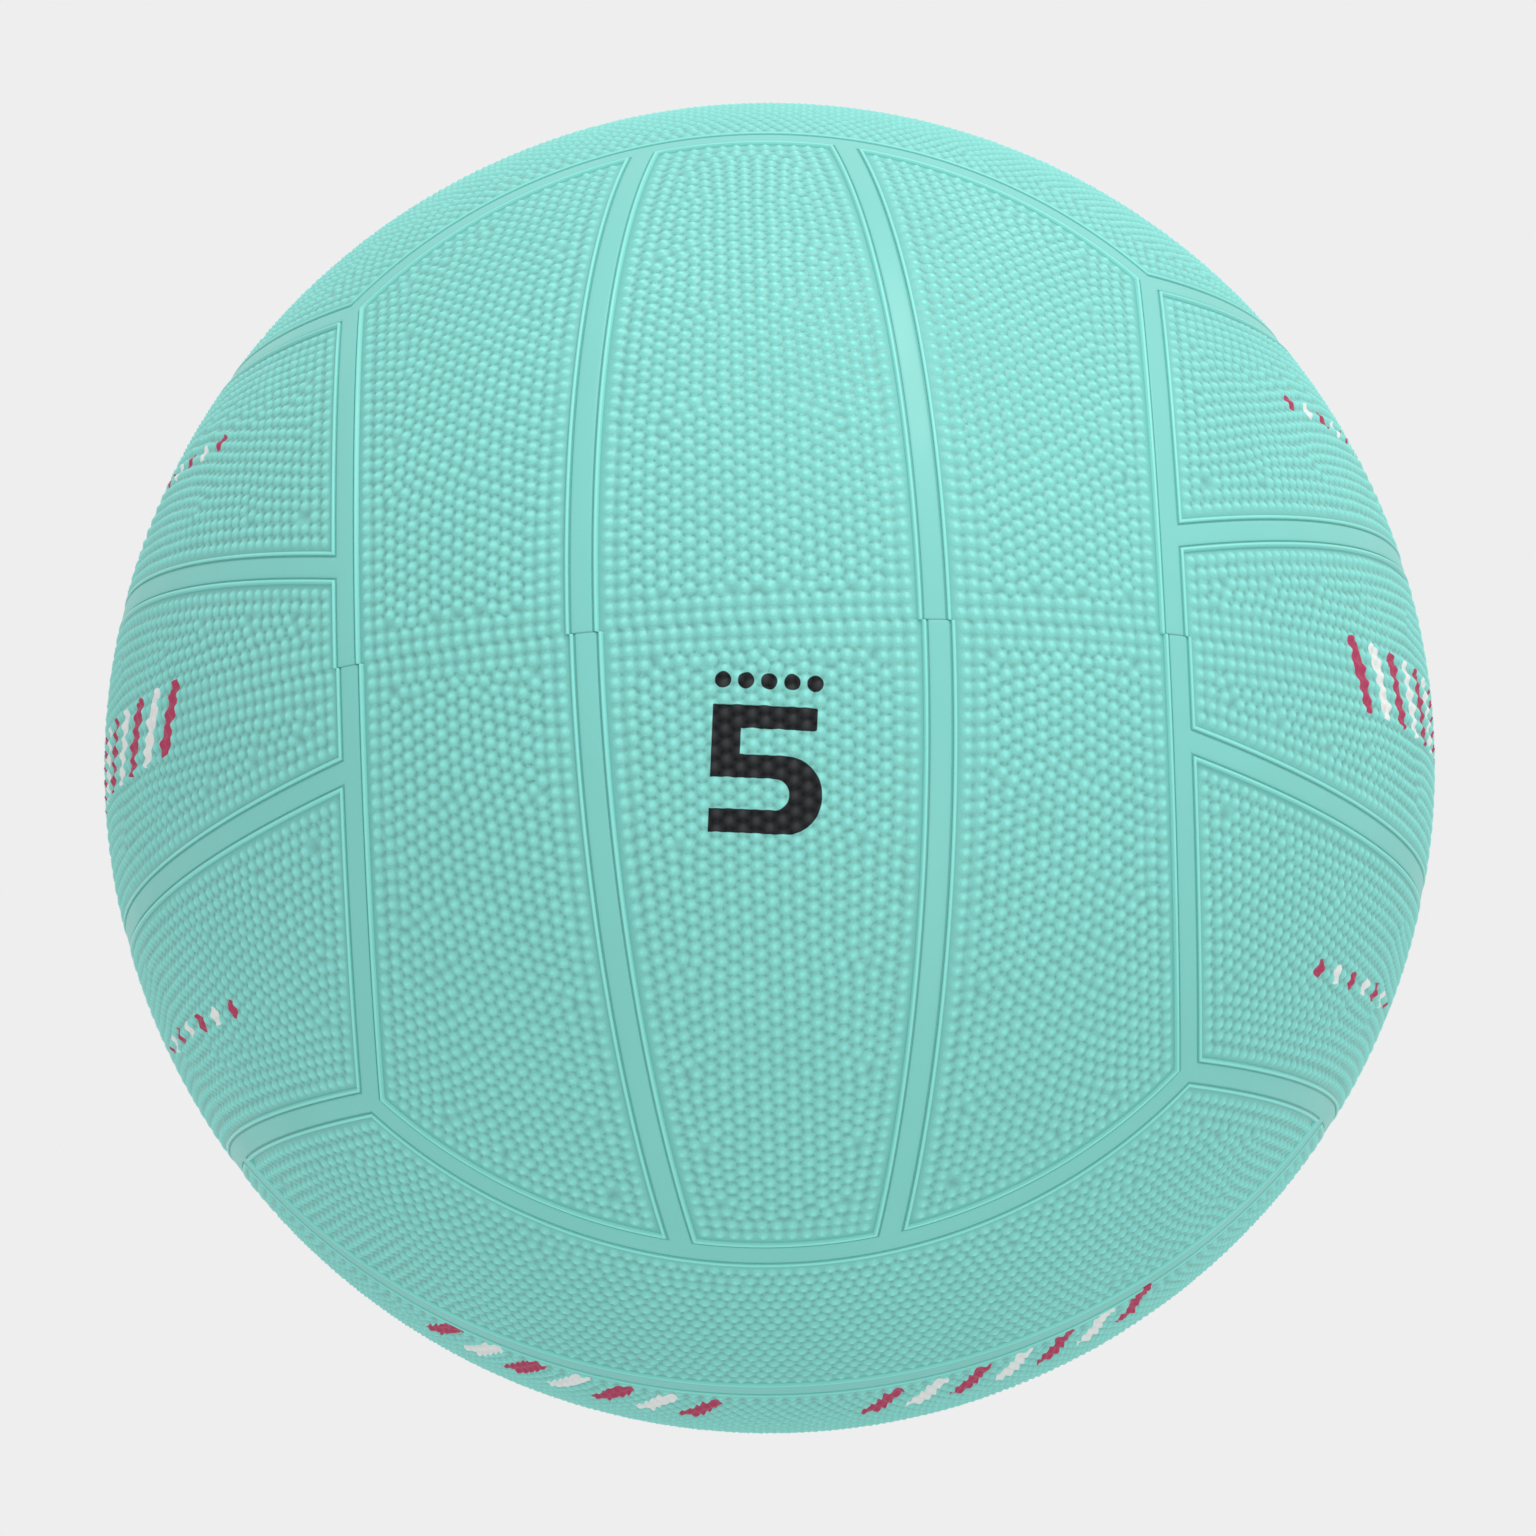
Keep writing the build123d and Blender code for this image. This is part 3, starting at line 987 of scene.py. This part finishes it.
def numeral_figure(tree, here):
    """Distance outside a plain figure five about its centre. It is a top bar, a stem and a
    bowl. The bowl is a rounded box without the smaller one inside it, and both run out
    to the left, where the bowl is cut off straight."""
    left, top, bottom = -NUMERAL_WIDTH / 2, NUMERAL_HEIGHT / 2, -NUMERAL_HEIGHT / 2
    half_stroke = NUMERAL_STROKE / 2
    half_bar = (BAR_LENGTH / 2, half_stroke)
    bar = box_distance(tree, here, (left + BAR_LENGTH / 2, top - half_stroke), half_bar, PRINT_CORNER)
    stem_bottom = bottom + BOWL_HEIGHT - NUMERAL_STROKE
    half_stem = (STEM_WIDTH / 2, (top - stem_bottom) / 2)
    stem_centre = (left + STEM_WIDTH / 2, (top + stem_bottom) / 2)
    stem = box_distance(tree, here, stem_centre, half_stem, PRINT_CORNER)
    middle = (left, bottom + BOWL_HEIGHT / 2)
    outer = box_distance(tree, here, middle, (NUMERAL_WIDTH, BOWL_HEIGHT / 2), BOWL_RADIUS)
    hollow = (NUMERAL_WIDTH - BOWL_SIDE_WIDTH, BOWL_HEIGHT / 2 - NUMERAL_STROKE)
    inner = box_distance(tree, here, middle, hollow, BOWL_HOLLOW_RADIUS)
    bowl = calc(tree, "MAXIMUM", outer, calc(tree, "MULTIPLY", inner, -1.0))
    bowl = calc(tree, "MAXIMUM", bowl, calc(tree, "SUBTRACT", left, parts_of(tree, here)["X"]))
    return calc(tree, "MINIMUM", calc(tree, "MINIMUM", bar, stem), bowl)


def numeral_print(tree, place, colours, base):
    """A plain figure five under five round pips, in dark ink with a painted highlight on the pebbles' tips.
    """
    centre = (NUMERAL_CENTRE[0], 0.0, NUMERAL_CENTRE[1])
    place = add_node(
        tree, "ShaderNodeVectorRotate", {"Vector": place, "Center": centre, "Angle": NUMERAL_TURN},
        rotation_type="Y_AXIS",
    ).outputs[0]
    figure = numeral_figure(tree, vector_calc(tree, "SUBTRACT", place, centre))
    x, _, z = parts_of(tree, place)
    rise = calc(tree, "SUBTRACT", z, PIP_HEIGHT)
    pip, number = row_of_boxes(tree, x, rise, PIP_GAP, (PIP_RADIUS, PIP_RADIUS))
    shown = calc(tree, "COMPARE", number, 0.0, PIPS_EACH_SIDE + 0.5)
    pips = calc(tree, "MULTIPLY", inked(tree, pip), shown)
    ink = calc(tree, "MAXIMUM", inked(tree, figure), pips)
    # Painted highlight on the pebbles' tips in the ink
    highlight_share = ranged(tree, relief_of(tree), *INK_HIGHLIGHT_RELIEF)
    highlighted_ink = mixed_colour(tree, highlight_share, opaque(colours.dark_ink), opaque(colours.ink_tip_highlight))
    return mixed_colour(tree, ink, base, highlighted_ink)


DASH_GAP = 7.5 * MM
DASH_HALF = (1.7 * MM, 6.0 * MM)
DASH_SLANT = 0.45
DASHES_FROM_MIDDLE = (2, 8)
DOT_RADIUS = 1.5 * MM
BOTTOM_ROW = -15 * MM


def dashed(tree, along, across, colours, base, half, slant):
    """A row of red and white boxes, by turns, with a bare stretch at its middle."""
    distance, number = row_of_boxes(tree, along, across, DASH_GAP, half, slant)
    first, last = DASHES_FROM_MIDDLE
    count = calc(tree, "ABSOLUTE", number)
    shown = calc(tree, "COMPARE", count, (first + last) / 2, (last - first) / 2 + 0.5)
    by_turns = calc(tree, "MODULO", count, 2.0)
    ink = mixed_colour(tree, by_turns, opaque(colours.red_ink), opaque(colours.white_ink))
    return mixed_colour(tree, calc(tree, "MULTIPLY", inked(tree, distance), shown), base, ink)


def angle_along(tree, sideways, out):
    """The distance along a great circle through the middle of a face."""
    angle = calc(tree, "ARCTAN2", sideways, calc(tree, "ABSOLUTE", out))
    return calc(tree, "MULTIPLY", angle, BALL_RADIUS)


def side_print(tree, place, colours, base):
    """Slanted dashes along the middle strip of the left and right faces, and a row of dots
    along the strips above and below it."""
    x, y, z = parts_of(tree, place)
    along = angle_along(tree, y, x)
    base = dashed(tree, along, z, colours, base, DASH_HALF, DASH_SLANT)
    side_strip = BALL_RADIUS * math.sin(SIDE_STRIP_BEARING)
    from_strip = calc(tree, "SUBTRACT", calc(tree, "ABSOLUTE", z), side_strip)
    return dashed(tree, along, from_strip, colours, base, (DOT_RADIUS, DOT_RADIUS), 0.0)


def bottom_print(tree, place, colours, base):
    """Slanted dashes along the front of the bottom face's middle strip."""
    x, y, z = parts_of(tree, place)
    across = calc(tree, "SUBTRACT", y, BOTTOM_ROW)
    return dashed(tree, angle_along(tree, x, z), across, colours, base, DASH_HALF, DASH_SLANT)


# Materials. A range of four numbers carries what lies between the first two to between
# the last two.
CLOUD_SCALE = 45.0
CLOUD_DETAIL = 3.0
CLOUD_SHADE = 0.75
CLOUD_STRENGTH = (0.35, 0.65, 0.0, 0.09)
GRAIN_SCALE = 2600.0
GRAIN_DETAIL = 2.0
GRAIN_BUMP = (0.25, 0.03 * MM)
# Relief over which the valleys' painted shade gives way to the flanks' colour, and the flanks' colour to
# the tips' painted highlight
VALLEY_TO_FLANK = (0.0, 0.4)
FLANK_TO_TIP = (0.6, 1.0)
FLANK_SHADE = 0.98
# Painted shade along the mould's fine parting groove: how far from the plane it fades, and how dark it gets
PARTING_LINE = (0.06 * MM, 0.18 * MM)
PARTING_LINE_SHADE = 0.3
SPECULAR_BY_BRIGHTNESS = (0.05, 0.3, 0.1, 0.4)
ROUGHNESS_BY_CLOUD = (0.3, 0.7, 0.4, 0.48)


def rubber(name, colour, colours, print_on=None, valley_painted_shade=0.6, tip_painted_highlight=1.2, parting_shade_strength=0.0):
    """Moulded rubber. The colour carries a painted highlight on the pebbles' tips and rims and painted
    shade in the valleys and grooves, with a faint cloudiness, and the sheen and a fine grain differ a
    little from place to place."""
    material, tree, shader = new_material(name)
    place = object_place(tree)
    cloud = noise(tree, place, CLOUD_SCALE, CLOUD_DETAIL)
    grain = noise(tree, place, GRAIN_SCALE, GRAIN_DETAIL)
    relief = relief_of(tree)
    # Painted shade in the valleys and grooves and a painted highlight on the tips and rims, set by the
    # relief
    flank = ranged(tree, relief, *VALLEY_TO_FLANK)
    base = mixed_colour(tree, flank, shaded(colour, valley_painted_shade), shaded(colour, FLANK_SHADE))
    base = mixed_colour(tree, ranged(tree, relief, *FLANK_TO_TIP), base, shaded(colour, tip_painted_highlight))
    base = mixed_colour(tree, ranged(tree, cloud, *CLOUD_STRENGTH), base, shaded(colour, CLOUD_SHADE))
    if print_on:
        base = print_on(tree, place, colours, base)
    # Painted shade along the parting groove
    if parting_shade_strength:
        height = calc(tree, "ABSOLUTE", parts_of(tree, place)["Z"])
        line = ranged(tree, height, *PARTING_LINE, parting_shade_strength, 0.0)
        base = mixed_colour(tree, line, base, shaded(colour, PARTING_LINE_SHADE))
    bright = add_node(tree, "ShaderNodeRGBToBW", {"Color": base}).outputs[0]
    set_sockets(tree, shader, {
        "Base Color": base,
        "Specular IOR Level": ranged(tree, bright, *SPECULAR_BY_BRIGHTNESS),
        "Roughness": ranged(tree, cloud, *ROUGHNESS_BY_CLOUD),
        "Normal": bump(tree, grain, *GRAIN_BUMP),
    })
    return material


WINDING_TURNS = ((0.3, 0.2, 0.0), (1.2, 0.5, 0.9), (0.6, 1.3, 2.1))
THREAD_WAVES = {"Scale": 260.0, "Distortion": 1.5, "Detail": 1.0}
# Painted shade in the gaps where the strands lie low
THREAD_SHADE = 0.45
THREAD_ROUGHNESS = 0.5
THREAD_BUMP = (0.6, 0.2 * MM)


def thread_material(colour):
    """Nylon thread wound in three directions: fine waves along each, the highest on top, with painted shade
    where the strands lie low between them.
    """
    material, tree, shader = new_material("wound_nylon_thread")
    place = object_place(tree)
    waves = []
    for turn in WINDING_TURNS:
        turned = add_node(tree, "ShaderNodeMapping", {"Vector": place, "Rotation": turn}).outputs[0]
        waves.append(add_node(tree, "ShaderNodeTexWave", {"Vector": turned, **THREAD_WAVES}).outputs["Fac"])
    top = calc(tree, "MAXIMUM", calc(tree, "MAXIMUM", waves[0], waves[1]), waves[2])
    set_sockets(tree, shader, {
        "Base Color": mixed_colour(tree, top, shaded(colour, THREAD_SHADE), opaque(colour)),
        "Roughness": THREAD_ROUGHNESS,
        "Normal": bump(tree, top, *THREAD_BUMP),
    })
    return material


BLOOM_SCALE = 220.0
BLOOM_DETAIL = 4.0
BLOOM_SHARE = (0.4, 0.75)
BLOOM_SHADE = 1.8
BLOOM_SPREAD = (0.3, 0.7)
BLOOM_ROUGHENING = 0.12
BLOOM_BUMP = (0.2, 0.05 * MM)


def black_rubber(name, colour, roughness):
    """Soft dark rubber with a faint dusty bloom and a fine grain."""
    material, tree, shader = new_material(name)
    bloom = noise(tree, object_place(tree), BLOOM_SCALE, BLOOM_DETAIL)
    dusty = ranged(tree, bloom, *BLOOM_SHARE)
    set_sockets(tree, shader, {
        "Base Color": mixed_colour(tree, dusty, opaque(colour), shaded(colour, BLOOM_SHADE)),
        "Roughness": ranged(tree, bloom, *BLOOM_SPREAD, roughness, roughness + BLOOM_ROUGHENING),
        "Normal": bump(tree, bloom, *BLOOM_BUMP),
    })
    return material


# Operators

class NETBALL_OT_panels(Operator):
    """Make the eighteen pebbled cover panels"""

    bl_idname = "netball.panels"
    bl_label = "Cover panels"

    def execute(self, context):
        settings = context.scene.netball
        sizes, pebbles, colours = settings.sizes, settings.pebbles, settings.colours

        def finish(name, print_on=None):
            return rubber(name, colours.panel, colours, print_on)

        plain = finish("pebbled_rubber")
        sides = finish("pebbled_rubber_side_print", side_print)
        printed = {(face, place): sides for face in ("left", "right") for place in FACES[face][2]}
        printed["front", "middle"] = finish("pebbled_rubber_numeral", numeral_print)
        printed["bottom", "middle"] = finish("pebbled_rubber_bottom_print", bottom_print)
        skins = {}
        for face, place, strip, turn, hole in strips_of_ball(sizes):
            kind = (strip, parting(face, strip), hole)
            if kind not in skins:
                skins[kind] = panel_skin(*kind, sizes, pebbles, pebbles.seed + len(skins))
            panel = mesh_object(f"{face}_{place}_pebbled_panel", mould_set(skins[kind], turn, sizes))
            panel.data.materials.append(printed.get((face, place), plain))
            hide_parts(f"{face}_{place}_panel")
            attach(panel, "ball")
        return {"FINISHED"}


class NETBALL_OT_carcass(Operator):
    """Make the carcass, whose ribs show as smooth bands between the panels"""

    bl_idname = "netball.carcass"
    bl_label = "Ribbed carcass"

    def execute(self, context):
        settings = context.scene.netball
        sizes, colours = settings.sizes, settings.colours
        cells = []
        used = 0
        for column, (*_, strip, turn, hole) in enumerate(strips_of_ball(sizes)):
            cell = mould_set(carcass_cell(strip, hole, sizes, column), turn, sizes)
            cells.append(cell._replace(triangles=cell.triangles + used))
            used += len(cell.points)
        carcass = mesh_object("moulded_ribs", Skin(*(np.concatenate(part) for part in zip(*cells))))
        merge_doubles(carcass, WELD)
        # The ribs' rubber has painted shade in the grooves beside them and along the parting line
        carcass.data.materials.append(
            rubber("rib_rubber", colours.rib, colours, valley_painted_shade=0.75, tip_painted_highlight=1.0, parting_shade_strength=0.5)
        )
        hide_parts("ribbed_carcass")
        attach(carcass, "ball")
        return {"FINISHED"}


class NETBALL_OT_layers(Operator):
    """Finish the bladder, the thread winding and the valve"""

    bl_idname = "netball.layers"
    bl_label = "Inner layers and valve"

    def execute(self, context):
        colours = context.scene.netball.colours
        finishes = {
            "thread_winding": thread_material(colours.thread),
            "bladder": black_rubber("butyl_bladder", colours.butyl, roughness=0.45),
            "valve_boot": black_rubber("valve_boot_rubber", colours.boot, roughness=0.5),
            "valve_plug": black_rubber("valve_plug_rubber", colours.plug, roughness=0.4),
        }
        for node, material in finishes.items():
            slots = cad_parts[node].data.materials
            slots.clear()
            slots.append(material)
        return {"FINISHED"}


# The fitted camera's directions in the ball's frame, the lamps and the floor, in metres
TO_CAMERA = Vector((0.005880, -0.979679, -0.200484))
CAMERA_UP = Vector((0.037255, -0.200134, 0.979060))
FRAMING_SHIFT = -0.00107
SENSOR_WIDTH = 36
KEY_LAMP_PLACE = (0.55, -0.95, 1.67)
KEY_LAMP_SIZE = 0.9
FILL_LAMP_PLACE = (0.6, -1.7, -1.1)
FILL_LAMP_SIZE = 1.2
FLOOR_REACH = 3.0
FLOOR_SHADE = 0.2
FLOOR_ROUGHNESS = 0.9


class NETBALL_OT_stage(Operator):
    """Make the pale ground, the soft light and the camera"""

    bl_idname = "netball.stage"
    bl_label = "Stage"

    def execute(self, context):
        scene = context.scene
        stage = scene.netball.stage
        self.make_camera(scene, stage)
        self.make_floor(scene, stage)
        self.make_world(scene, stage)
        self.make_lamp(scene, "key_lamp", stage.key_power, KEY_LAMP_SIZE, KEY_LAMP_PLACE)
        self.make_lamp(scene, "fill_lamp", stage.fill_power, FILL_LAMP_SIZE, FILL_LAMP_PLACE)
        scene.view_settings.view_transform = "Standard"
        return {"FINISHED"}

    def make_camera(self, scene, stage):
        """A camera on the line to the photographer, turned by its own up direction."""
        data = bpy.data.cameras.new("camera")
        data.lens = stage.lens
        data.sensor_width = SENSOR_WIDTH
        data.shift_x = FRAMING_SHIFT
        camera = bpy.data.objects.new("camera", data)
        turn = Matrix((CAMERA_UP.cross(TO_CAMERA), CAMERA_UP, TO_CAMERA)).transposed()
        camera.matrix_world = Matrix.Translation(TO_CAMERA * stage.distance) @ turn.to_4x4()
        scene.collection.objects.link(camera)
        scene.camera = camera

    def make_floor(self, scene, stage):
        """A wide pale floor under the ball. It can't be seen from below, where the photographer
        stands, and lets most of the even light through to the ball's underside."""
        mesh = bpy.data.meshes.new("floor")
        corners = np.array([(-1, -1), (1, -1), (1, 1), (-1, 1)]) * FLOOR_REACH
        mesh.from_pydata([(x, y, -BALL_RADIUS) for x, y in corners], [], [(0, 1, 2, 3)])
        floor = bpy.data.objects.new("floor", mesh)
        scene.collection.objects.link(floor)
        material, tree, shader = new_material("pale_floor")
        set_sockets(tree, shader, {"Base Color": opaque(stage.floor), "Roughness": FLOOR_ROUGHNESS})
        below = add_node(tree, "ShaderNodeNewGeometry").outputs["Backfacing"]
        camera_ray = add_node(tree, "ShaderNodeLightPath").outputs["Is Camera Ray"]
        from_above = calc(tree, "SUBTRACT", 1.0, below)
        shares = {"Factor": camera_ray, "A": FLOOR_SHADE, "B": from_above}
        shown = add_node(tree, "ShaderNodeMix", shares).outputs[0]
        clear = add_node(tree, "ShaderNodeBsdfTransparent").outputs[0]
        mix = add_node(tree, "ShaderNodeMixShader", {0: shown, 1: clear, 2: shader.outputs[0]})
        set_sockets(tree, tree.nodes["Material Output"], {"Surface": mix.outputs[0]})
        mesh.materials.append(material)

    def make_world(self, scene, stage):
        """Even light for the ball, and the pale backdrop for what the camera and mirrors see."""
        world = bpy.data.worlds.new("studio")
        world.use_nodes = True
        tree = world.node_tree
        light = tree.nodes["Background"]
        set_sockets(tree, light, {"Color": (1.0, 1.0, 1.0, 1.0), "Strength": stage.daylight})
        pale = add_node(tree, "ShaderNodeBackground", {"Color": opaque(stage.backdrop), "Strength": 1.0})
        path = add_node(tree, "ShaderNodeLightPath").outputs
        seen = calc(tree, "MAXIMUM", path["Is Camera Ray"], path["Is Glossy Ray"])
        seen = calc(tree, "MAXIMUM", seen, path["Is Transmission Ray"])
        mix = add_node(tree, "ShaderNodeMixShader", {0: seen, 1: light.outputs[0], 2: pale.outputs[0]})
        set_sockets(tree, tree.nodes["World Output"], {"Surface": mix.outputs[0]})
        scene.world = world

    def make_lamp(self, scene, name, power, size, place):
        """A soft square lamp that faces the ball."""
        data = bpy.data.lights.new(name, "AREA")
        data.energy = power
        data.size = size
        lamp = bpy.data.objects.new(name, data)
        lamp.location = place
        lamp.rotation_mode = "QUATERNION"
        lamp.rotation_quaternion = (-lamp.location).to_track_quat("-Z", "Y")
        scene.collection.objects.link(lamp)


class NETBALL_PT_sidebar(Panel):
    """The ball's parts and settings"""

    bl_idname = "NETBALL_PT_sidebar"
    bl_label = "Netball"
    bl_space_type = "VIEW_3D"
    bl_region_type = "UI"
    bl_category = "Netball"

    def draw(self, context):
        layout = self.layout
        for operator in OPERATORS:
            layout.operator(operator.bl_idname)
        settings = context.scene.netball
        for group in (settings.sizes, settings.pebbles, settings.colours, settings.stage):
            box = layout.box()
            for name in group.__annotations__:
                box.prop(group, name)


OPERATORS = (NETBALL_OT_panels, NETBALL_OT_carcass, NETBALL_OT_layers, NETBALL_OT_stage)
SETTINGS = (NetballSizes, PebbleSizes, NetballColours, StageSettings, NetballSettings)
CLASSES = (*SETTINGS, *OPERATORS, NETBALL_PT_sidebar)


def register():
    for cls in CLASSES:
        bpy.utils.register_class(cls)
    bpy.types.Scene.netball = PointerProperty(type=NetballSettings)


def unregister():
    del bpy.types.Scene.netball
    for cls in reversed(CLASSES):
        bpy.utils.unregister_class(cls)


def main():
    register()
    bpy.ops.netball.panels()
    bpy.ops.netball.carcass()
    bpy.ops.netball.layers()
    bpy.ops.netball.stage()


if __name__ == "__main__":
    main()
